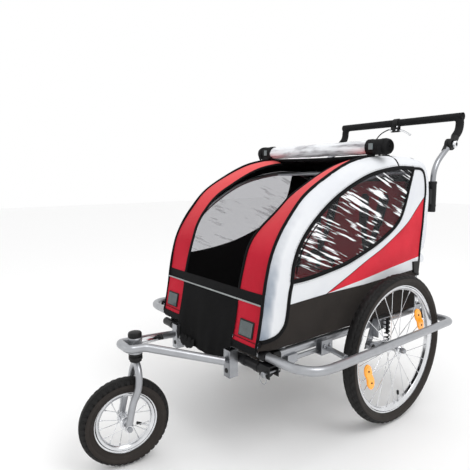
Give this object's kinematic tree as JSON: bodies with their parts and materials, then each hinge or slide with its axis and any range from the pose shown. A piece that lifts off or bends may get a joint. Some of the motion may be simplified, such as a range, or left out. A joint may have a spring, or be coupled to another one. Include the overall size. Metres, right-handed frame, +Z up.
{
  "type": "child bicycle trailer",
  "caption": "Two-seat child trailer with a fabric cabin on a tube frame, sprung spoked wheels, side bumpers, swivelling front wheel and tilting push handle.",
  "frame": {"origin": "on the ground under the middle of the bounding box", "axes": "+Z up, -Y towards the front wheel, +X towards the trailer's left side"},
  "size_m": [0.8774, 1.4187, 1.0615],
  "materials": {
    "silver_tube": "satin silver powder coat on round tube",
    "zinc_steel": "zinc plated sheet steel and bolts",
    "black_metal": "semi-gloss black paint",
    "black_plastic": "moulded black plastic",
    "tyre_rubber": "moulded rubber tread and side walls",
    "wheel_metal": "polished rims with plated steel spokes",
    "red_cloth": "coated woven polyester",
    "white_cloth": "coated woven polyester",
    "black_cloth": "coated woven polyester",
    "clear_vinyl": "rolled clear vinyl with black ends",
    "foam": "closed cell foam",
    "cable_jacket": "smooth black cable jacket"
  },
  "bodies": {
    "chassis": {"side_rail_left": "silver_tube", "side_rail_right": "silver_tube", "side_bumper_left": "silver_tube", "side_bumper_right": "silver_tube", "front_crossbar": "black_metal", "seat_crossbar": "silver_tube", "rear_crossbar": "silver_tube", "tow_receiver": "black_metal", "suspension_bracket_left": "zinc_steel", "suspension_bracket_right": "zinc_steel", "jogger_arm_left": "silver_tube", "jogger_arm_right": "silver_tube", "steering_head": "silver_tube", "cabin_frame_left": "silver_tube", "cabin_frame_right": "silver_tube", "roof_spreader": "silver_tube", "front_panel": "black_cloth", "roof_panel": "white_cloth", "back_panel": "black_cloth", "floor_panel": "black_cloth", "front_band_left": "red_cloth", "front_band_right": "red_cloth", "side_panel_left": "white_cloth", "side_panel_right": "white_cloth", "rolled_cover": "clear_vinyl", "seat_cushion": "red_cloth", "seat_back": "red_cloth", "harness_left": "black_cloth", "harness_right": "black_cloth", "handle_sleeve_left": "black_plastic", "handle_sleeve_right": "black_plastic", "handle_lower_tube_left": "zinc_steel", "handle_lower_tube_right": "zinc_steel", "brake_cable_lower": "cable_jacket", "suspension_spring_left": "black_metal", "suspension_spring_right": "black_metal"},
    "hitch_pin": {"hitch_pin": "zinc_steel"},
    "swing_arm_left": {"swing_arm_left": "zinc_steel", "rear_axle_left": "zinc_steel"},
    "swing_arm_right": {"swing_arm_right": "zinc_steel", "rear_axle_right": "zinc_steel"},
    "rear_wheel_left": {"rear_tyre_left": "tyre_rubber", "rear_rim_left": "wheel_metal", "rear_hub_left": "wheel_metal"},
    "rear_wheel_right": {"rear_tyre_right": "tyre_rubber", "rear_rim_right": "wheel_metal", "rear_hub_right": "wheel_metal"},
    "lock_plunger": {"lock_plunger": "black_plastic"},
    "front_fork": {"front_fork": "silver_tube", "steering_cap": "black_plastic", "front_axle": "zinc_steel"},
    "front_wheel": {"front_tyre": "tyre_rubber", "front_wheel": "wheel_metal"},
    "push_handle": {"handle_bar": "black_metal", "foam_grip": "foam", "brake_clamp": "black_plastic", "brake_cable_upper": "cable_jacket"},
    "brake_lever": {"brake_lever": "zinc_steel"},
    "hinge_button_left": {"hinge_button_left": "zinc_steel"},
    "hinge_button_right": {"hinge_button_right": "zinc_steel"}
  },
  "joints": [
    {"name": "suspension_left", "type": "hinge", "parent": "chassis", "child": "swing_arm_left", "pos_m": [0.295, 0.13785, 0.268], "axis": [1, 0, 0], "range_deg": [0, 12], "stiffness_Nm_per_rad": 60, "springref_deg": -14.32, "deforming": ["suspension_spring_left"]},
    {"name": "rear_wheel_spin_left", "type": "hinge", "parent": "swing_arm_left", "child": "rear_wheel_left", "pos_m": [0.33, 0.22285, 0.25], "axis": [1, 0, 0], "continuous": true},
    {"name": "suspension_right", "type": "hinge", "parent": "chassis", "child": "swing_arm_right", "pos_m": [-0.295, 0.13785, 0.268], "axis": [1, 0, 0], "range_deg": [0, 12], "stiffness_Nm_per_rad": 60, "springref_deg": -14.32, "deforming": ["suspension_spring_right"]},
    {"name": "rear_wheel_spin_right", "type": "hinge", "parent": "swing_arm_right", "child": "rear_wheel_right", "pos_m": [-0.33, 0.22285, 0.25], "axis": [1, 0, 0], "continuous": true},
    {"name": "fork_swivel", "type": "hinge", "parent": "chassis", "child": "front_fork", "pos_m": [0, -0.54815, 0.34], "axis": [0, 0, 1], "continuous": true},
    {"name": "front_wheel_spin", "type": "hinge", "parent": "front_fork", "child": "front_wheel", "pos_m": [-0.00662, -0.58354, 0.128], "axis": [0.9829, -0.184, 0], "continuous": true},
    {"name": "swivel_lock_pull", "type": "slide", "parent": "chassis", "child": "lock_plunger", "axis": [0, 1, 0], "range_m": [0, 0.008], "stiffness_N_per_m": 600, "springref_m": -0.004},
    {"name": "handle_tilt", "type": "hinge", "parent": "chassis", "child": "push_handle", "pos_m": [0, 0.62285, 0.935], "axis": [1, 0, 0], "range_deg": [-75, 60], "deforming": ["brake_cable_upper"]},
    {"name": "brake_lever_pull", "type": "hinge", "parent": "push_handle", "child": "brake_lever", "pos_m": [0.006, 0.69085, 1.013], "axis": [0, -1, 0], "range_deg": [0, 12], "stiffness_Nm_per_rad": 0.6, "springref_deg": -8.59},
    {"name": "hinge_button_press_left", "type": "slide", "parent": "chassis", "child": "hinge_button_left", "axis": [-1, 0, 0], "range_m": [0, 0.004], "stiffness_N_per_m": 500, "springref_m": -0.004},
    {"name": "hinge_button_press_right", "type": "slide", "parent": "chassis", "child": "hinge_button_right", "axis": [1, 0, 0], "range_m": [0, 0.004], "stiffness_N_per_m": 500, "springref_m": -0.004},
    {"name": "hitch_pin_pull", "type": "slide", "parent": "chassis", "child": "hitch_pin", "axis": [0, -1, 0], "range_m": [0, 0.045]}
  ]
}
